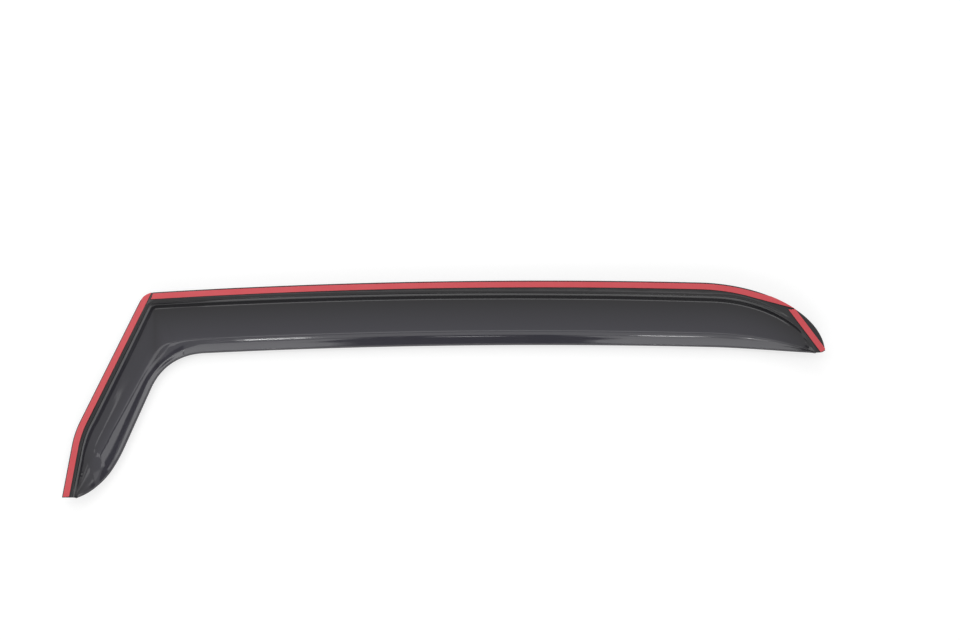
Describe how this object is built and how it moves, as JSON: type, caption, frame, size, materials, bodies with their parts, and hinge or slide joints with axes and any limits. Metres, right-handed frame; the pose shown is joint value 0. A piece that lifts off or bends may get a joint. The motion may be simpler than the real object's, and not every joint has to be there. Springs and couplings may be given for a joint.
{
  "type": "window rain deflector",
  "caption": "Smoked acrylic rain deflector for a car's side window: an angled hood along the top and pillar edges, with foam mounting tape under peel-off liners.",
  "frame": {"origin": "On the exposed face of the header tape's liner, on the strip's centre line at the crown of the long upper edge", "axes": "+X runs along the long bar towards its rear tip, +Y points to the top of the window, +Z points out of the tape face, towards the door frame it is fixed to"},
  "size_m": [0.8081, 0.2373, 0.0198],
  "materials": {
    "smoked_acrylic": "polished",
    "foam_tape": "matte",
    "release_liner": "satin"
  },
  "bodies": {
    "root": {"visor_shell": "smoked_acrylic", "header_tape": "foam_tape", "pillar_tape": "foam_tape", "tip_tape": "foam_tape", "header_liner": "release_liner", "pillar_liner": "release_liner", "tip_liner": "release_liner"}
  },
  "joints": []
}
